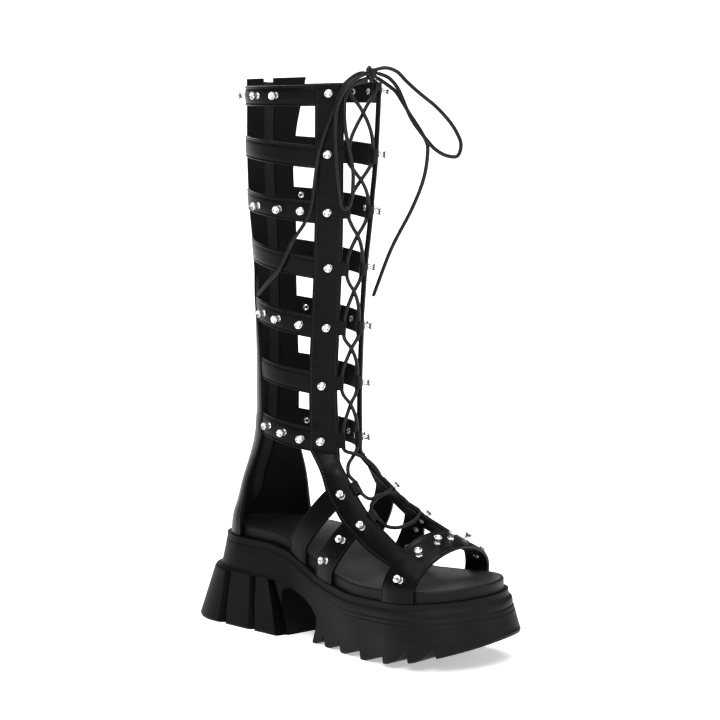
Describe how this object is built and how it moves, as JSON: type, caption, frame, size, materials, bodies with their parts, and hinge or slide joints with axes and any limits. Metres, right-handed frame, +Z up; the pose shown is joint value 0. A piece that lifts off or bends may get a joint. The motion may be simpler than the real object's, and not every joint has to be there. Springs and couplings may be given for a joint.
{
  "type": "knee-high gladiator boot",
  "caption": "Left knee-high gladiator boot: straps joined by laced eyestays and a zipped back panel, on a tall platform sole with a flared heel.",
  "frame": {"origin": "under the middle of the boot, on the floor", "axes": "+Z up, toe towards -Y, the outer side of this left boot towards +X"},
  "size_m": [0.1119, 0.2965, 0.417],
  "materials": {
    "leather": "black satin",
    "rubber": "matt",
    "chrome": "polished",
    "lace": "round woven lace",
    "tape": "woven tape with moulded teeth"
  },
  "bodies": {
    "boot": {"insole": "leather", "lace_crossings": "lace", "lace_end_inner": "lace", "lace_end_outer": "lace", "lace_knot": "lace", "lace_loop_inner": "lace", "lace_loop_outer": "lace", "outsole": "rubber", "stud_band_2_inner_1": "chrome", "stud_band_2_outer_1": "chrome", "stud_band_3_inner_1": "chrome", "stud_band_3_inner_2": "chrome", "stud_band_3_inner_3": "chrome", "stud_band_3_inner_4": "chrome", "stud_band_3_outer_1": "chrome", "stud_band_3_outer_2": "chrome", "stud_band_3_outer_3": "chrome", "stud_band_3_outer_4": "chrome", "stud_band_4_inner_1": "chrome", "stud_band_4_outer_1": "chrome", "stud_band_5_inner_1": "chrome", "stud_band_5_inner_2": "chrome", "stud_band_5_inner_3": "chrome", "stud_band_5_inner_4": "chrome", "stud_band_5_outer_1": "chrome", "stud_band_5_outer_2": "chrome", "stud_band_5_outer_3": "chrome", "stud_band_5_outer_4": "chrome", "stud_band_6_inner_1": "chrome", "stud_band_6_outer_1": "chrome", "stud_band_7_inner_1": "chrome", "stud_band_7_inner_2": "chrome", "stud_band_7_inner_3": "chrome", "stud_band_7_outer_1": "chrome", "stud_band_7_outer_2": "chrome", "stud_band_7_outer_3": "chrome", "stud_collar_band_inner_1": "chrome", "stud_collar_band_inner_2": "chrome", "stud_collar_band_inner_3": "chrome", "stud_collar_band_outer_1": "chrome", "stud_collar_band_outer_2": "chrome", "stud_collar_band_outer_3": "chrome", "stud_foot_inner_1": "chrome", "stud_foot_inner_2": "chrome", "stud_foot_inner_3": "chrome", "stud_foot_inner_4": "chrome", "stud_foot_outer_1": "chrome", "stud_foot_outer_2": "chrome", "stud_foot_outer_3": "chrome", "stud_foot_outer_4": "chrome", "stud_toe_1": "chrome", "stud_toe_2": "chrome", "stud_toe_3": "chrome", "stud_toe_4": "chrome", "stud_toe_5": "chrome", "stud_toe_6": "chrome", "upper": "leather", "zip_slider": "chrome", "zip_tape": "tape"},
    "pull": {"zip_pull": "chrome"}
  },
  "joints": [
    {"name": "pull_hinge", "type": "hinge", "parent": "boot", "child": "pull", "pos_m": [-0.0023, 0.0979, 0.392], "axis": [1, 0, 0], "range_deg": [0, 150]}
  ]
}
